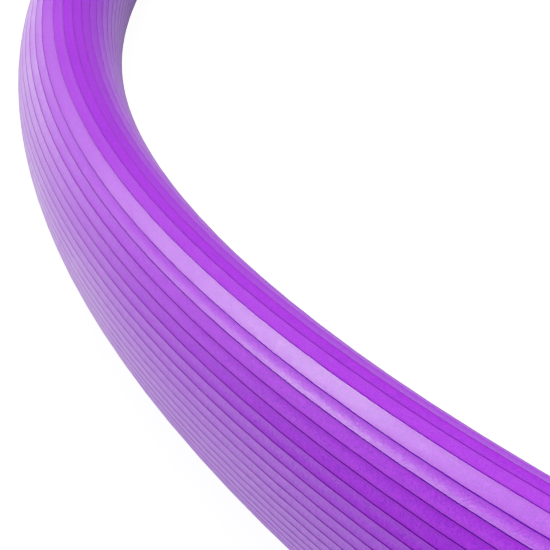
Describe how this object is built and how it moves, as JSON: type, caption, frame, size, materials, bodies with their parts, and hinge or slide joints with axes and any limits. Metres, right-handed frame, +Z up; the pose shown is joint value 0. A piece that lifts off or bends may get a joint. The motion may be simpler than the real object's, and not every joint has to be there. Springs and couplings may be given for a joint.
{
  "type": "rhythmic gymnastics hoop",
  "caption": "Rigid round gymnastics hoop of ribbed oval plastic tube, its two ends butted over an inner plug and held by wire staples.",
  "frame": {"origin": "centre of the circle that the hoop rests on when it lies flat", "axes": "+Z up along the hoop's axis, the tube's seam on +Y"},
  "size_m": [0.848, 0.8479, 0.0243],
  "materials": {
    "tube_plastic": "saturated purple, matte and finely grained",
    "plug_plastic": "off-white, matte",
    "staple_wire": "drawn steel wire, satin"
  },
  "bodies": {
    "root": {"hoop_tube": "tube_plastic", "joint_plug": "plug_plastic", "joint_staples": "staple_wire"}
  },
  "joints": []
}
